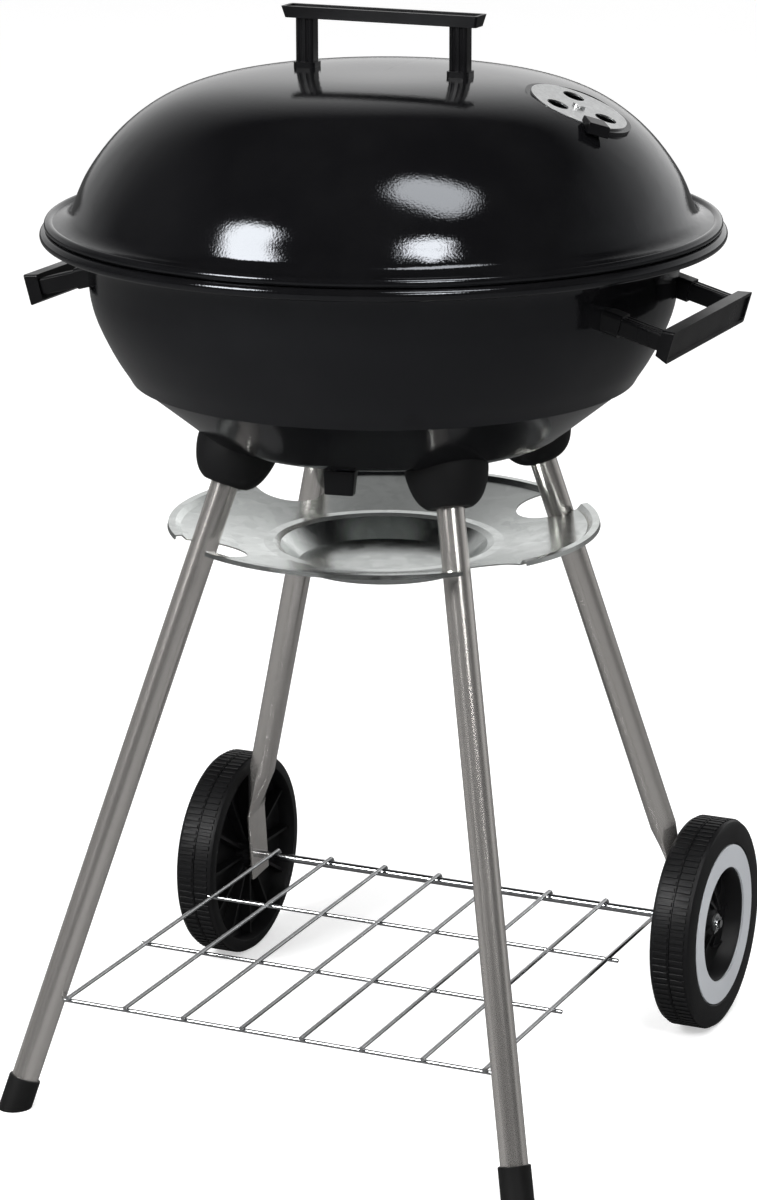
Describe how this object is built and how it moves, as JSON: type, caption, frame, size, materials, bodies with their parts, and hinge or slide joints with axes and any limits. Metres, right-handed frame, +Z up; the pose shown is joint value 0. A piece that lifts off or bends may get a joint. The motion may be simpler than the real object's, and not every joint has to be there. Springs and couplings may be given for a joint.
{
  "type": "kettle charcoal grill",
  "caption": "Kettle charcoal grill: enamelled bowl and lift-off lid with turning air vents on splayed tube legs, with wheels, twist-off ash tray, grates and a wire shelf.",
  "frame": {"origin": "on the floor under the middle of the grill's outline, which is the bowl's axis", "axes": "+Z up; +Y towards the wheels, away from the front legs; +X to the right seen from the front"},
  "size_m": [0.4824, 0.47, 0.751],
  "materials": {
    "enamel_black": "gloss porcelain enamel",
    "handle_black": "satin moulded plastic",
    "steel_zinc": "zinc plated, slightly grainy",
    "steel_tube": "brushed lengthwise",
    "steel_galvanized": "galvanized sheet, faint spangle",
    "wire_plated": "bright plated wire",
    "socket_black": "fine textured matte",
    "foot_rubber": "matte",
    "wheel_black": "low sheen moulded plastic",
    "trim_silver": "satin silver"
  },
  "bodies": {
    "frame": {"bowl": "enamel_black", "side_handle_left": "handle_black", "side_handle_right": "handle_black", "side_handle_screws": "steel_zinc", "bowl_damper_rivet": "steel_zinc", "grate_brackets": "steel_zinc", "front_leg_right": "steel_tube", "front_leg_left": "steel_tube", "rear_leg_right": "steel_tube", "rear_leg_left": "steel_tube", "leg_socket_front_right": "socket_black", "leg_socket_front_left": "socket_black", "leg_socket_rear_right": "socket_black", "leg_socket_rear_left": "socket_black", "leg_bolts": "steel_zinc", "leg_screws": "steel_zinc", "foot_cap_right": "foot_rubber", "foot_cap_left": "foot_rubber", "wire_shelf": "wire_plated", "axle": "wire_plated", "axle_washers": "steel_zinc", "axle_clips": "steel_zinc"},
    "lid": {"lid": "enamel_black", "lid_handle": "handle_black", "lid_handle_screws": "steel_zinc", "lid_damper_rivet": "steel_zinc"},
    "lid_damper": {"lid_damper": "steel_zinc", "lid_damper_grip": "handle_black"},
    "bowl_damper": {"bowl_damper": "steel_zinc", "bowl_damper_grip": "handle_black"},
    "cooking_grate": {"cooking_grate": "wire_plated"},
    "charcoal_grate": {"charcoal_grate": "wire_plated"},
    "ash_tray": {"ash_tray": "steel_galvanized"},
    "wheel_left": {"wheel_left": "wheel_black", "wheel_trim_left": "trim_silver"},
    "wheel_right": {"wheel_right": "wheel_black", "wheel_trim_right": "trim_silver"}
  },
  "joints": [
    {"name": "lid_lift", "type": "slide", "parent": "frame", "child": "lid", "axis": [0, 0, 1], "range_m": [0, 0.3]},
    {"name": "cooking_grate_lift", "type": "slide", "parent": "frame", "child": "cooking_grate", "axis": [0, 0, 1], "range_m": [0, 0.15]},
    {"name": "charcoal_grate_lift", "type": "slide", "parent": "frame", "child": "charcoal_grate", "axis": [0, 0, 1], "range_m": [0, 0.075]},
    {"name": "lid_damper_turn", "type": "hinge", "parent": "lid", "child": "lid_damper", "pos_m": [0.14081, 0.00738, 0.6949], "axis": [0.366, 0.0192, 0.9304], "range_deg": [0, 48]},
    {"name": "bowl_damper_turn", "type": "hinge", "parent": "frame", "child": "bowl_damper", "pos_m": [0, 0, 0.458], "axis": [0, 0, 1], "range_deg": [-31, 0]},
    {"name": "ash_tray_twist", "type": "hinge", "parent": "frame", "child": "ash_tray", "pos_m": [0, 0, 0.39], "axis": [0, 0, 1], "range_deg": [-12, 0]},
    {"name": "wheel_left_spin", "type": "hinge", "parent": "frame", "child": "wheel_left", "pos_m": [-0.19, 0.1465, 0.0773], "axis": [1, 0, 0], "continuous": true},
    {"name": "wheel_right_spin", "type": "hinge", "parent": "frame", "child": "wheel_right", "pos_m": [0.19, 0.1465, 0.0773], "axis": [1, 0, 0], "continuous": true}
  ],
  "couplings": [
    {"joint": "cooking_grate_lift", "follows": "lid_lift", "ratio": 0.5},
    {"joint": "charcoal_grate_lift", "follows": "lid_lift", "ratio": 0.25}
  ]
}
